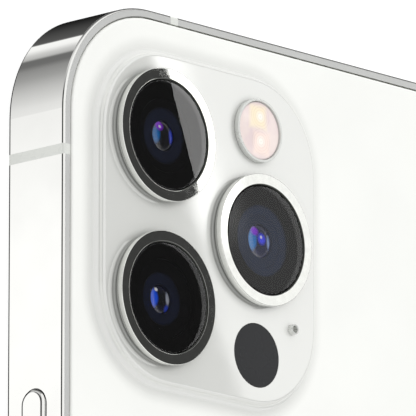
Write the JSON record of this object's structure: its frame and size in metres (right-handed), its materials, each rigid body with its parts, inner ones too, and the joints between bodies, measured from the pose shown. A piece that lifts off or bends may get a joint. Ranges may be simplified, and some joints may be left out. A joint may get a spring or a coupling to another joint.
{
  "type": "smartphone",
  "caption": "Slim touch-screen phone with a polished steel band, white glass back, raised camera plateau with lenses, flash and depth sensor, side buttons, card tray and charging port.",
  "frame": {"origin": "under the middle of the phone's outline, on the outer face of the front glass, which it lies on", "axes": "+Z out of the back, +Y towards the top end, +X to the right as seen from the back"},
  "size_m": [0.0722, 0.1466, 0.0093],
  "materials": {
    "polished_steel": "mirror polished stainless steel",
    "break_plastic": "satin",
    "rear_glass_white": "white glass, matte on the back and glossy on the camera plateau",
    "front_glass_clear": "gloss, with a dark border",
    "cover_glass": "coated gloss",
    "lens_glass": "coated gloss",
    "barrel_black": "matte black",
    "sensor_window": "dark satin glass",
    "flash_window": "frosted",
    "led_board": "matte",
    "display": "gloss black",
    "gasket": "matte",
    "dark_mesh": "dark woven mesh",
    "stamped_steel": "satin",
    "plate_aluminium": "bead blasted",
    "board": "solder mask",
    "battery_wrap": "matte film",
    "copper": "bare winding",
    "magnet": "nickel plated",
    "gold_contact": "plated",
    "black_plastic": "matte"
  },
  "bodies": {
    "phone": {"antenna_breaks": "break_plastic", "battery": "battery_wrap", "board_shields": "stamped_steel", "bottom_screws": "polished_steel", "camera_bracket": "plate_aluminium", "camera_module_telephoto": "stamped_steel", "camera_module_ultrawide": "stamped_steel", "camera_module_wide": "stamped_steel", "camera_ring_telephoto": "polished_steel", "camera_ring_ultrawide": "polished_steel", "camera_ring_wide": "polished_steel", "charge_port": "stamped_steel", "charging_coil": "copper", "cover_glass_telephoto": "cover_glass", "cover_glass_ultrawide": "cover_glass", "cover_glass_wide": "cover_glass", "depth_sensor_module": "stamped_steel", "depth_sensor_window": "sensor_window", "display_gasket": "gasket", "display_panel": "display", "earpiece_mesh": "dark_mesh", "earpiece_speaker": "black_plastic", "face_sensors": "black_plastic", "flash_led_board": "led_board", "flash_ring": "polished_steel", "flash_window": "flash_window", "frame_bottom": "polished_steel", "frame_corner_bottom": "polished_steel", "frame_corner_top": "polished_steel", "frame_rail_left": "polished_steel", "frame_rail_right": "polished_steel", "frame_top": "polished_steel", "front_camera": "black_plastic", "front_glass": "front_glass_clear", "haptic_housing": "stamped_steel", "lens_barrel_ultrawide": "barrel_black", "lens_glass_ultrawide": "lens_glass", "logic_board": "board", "loudspeaker": "black_plastic", "magnet_ring": "magnet", "mid_plate": "plate_aluminium", "port_contacts": "gold_contact", "rear_glass": "rear_glass_white", "rear_microphone": "stamped_steel", "side_button_switches": "stamped_steel", "sim_reader": "stamped_steel", "volume_button_switches": "stamped_steel"},
    "side_button": {"side_button": "polished_steel"},
    "volume_up_button": {"volume_up_button": "polished_steel"},
    "volume_down_button": {"volume_down_button": "polished_steel"},
    "ring_switch": {"ring_switch": "polished_steel"},
    "sim_tray": {"sim_tray": "polished_steel", "sim_tray_seal": "gasket"},
    "sim_eject_rod": {"sim_eject_rod": "stamped_steel"},
    "sim_eject_lever": {"sim_eject_lever": "stamped_steel"},
    "telephoto_lens": {"lens_barrel_telephoto": "barrel_black", "lens_glass_telephoto": "lens_glass"},
    "wide_lens": {"lens_barrel_wide": "barrel_black", "lens_glass_wide": "lens_glass"},
    "haptic_mass": {"haptic_mass": "stamped_steel"}
  },
  "joints": [
    {"name": "side_button_press", "type": "slide", "parent": "phone", "child": "side_button", "axis": [1, 0, 0], "range_m": [0, 0.00025], "stiffness_N_per_m": 4000},
    {"name": "volume_up_press", "type": "slide", "parent": "phone", "child": "volume_up_button", "axis": [-1, 0, 0], "range_m": [0, 0.00025], "stiffness_N_per_m": 4000},
    {"name": "volume_down_press", "type": "slide", "parent": "phone", "child": "volume_down_button", "axis": [-1, 0, 0], "range_m": [0, 0.00025], "stiffness_N_per_m": 4000},
    {"name": "ring_switch_slide", "type": "slide", "parent": "phone", "child": "ring_switch", "axis": [0, 0, 1], "range_m": [0, 0.0012]},
    {"name": "sim_tray_slide", "type": "slide", "parent": "phone", "child": "sim_tray", "axis": [1, 0, 0], "range_m": [0, 0.022]},
    {"name": "sim_eject_push", "type": "slide", "parent": "phone", "child": "sim_eject_rod", "axis": [-1, 0, 0], "range_m": [0, 0.0015]},
    {"name": "sim_eject_turn", "type": "hinge", "parent": "phone", "child": "sim_eject_lever", "pos_m": [0.01115, -0.01115, 0.0036], "axis": [0, 0, -1], "range_deg": [0, 20]},
    {"name": "telephoto_focus", "type": "slide", "parent": "phone", "child": "telephoto_lens", "axis": [0, 0, 1], "range_m": [-0.00015, 0.00015], "stiffness_N_per_m": 120},
    {"name": "wide_focus", "type": "slide", "parent": "phone", "child": "wide_lens", "axis": [0, 0, 1], "range_m": [-0.00015, 0.00015], "stiffness_N_per_m": 120},
    {"name": "haptic_slide", "type": "slide", "parent": "phone", "child": "haptic_mass", "axis": [1, 0, 0], "range_m": [-0.0008, 0.0008], "stiffness_N_per_m": 400}
  ],
  "couplings": [
    {"joint": "sim_eject_turn", "follows": "sim_eject_push", "rad_per_m": 232}
  ]
}
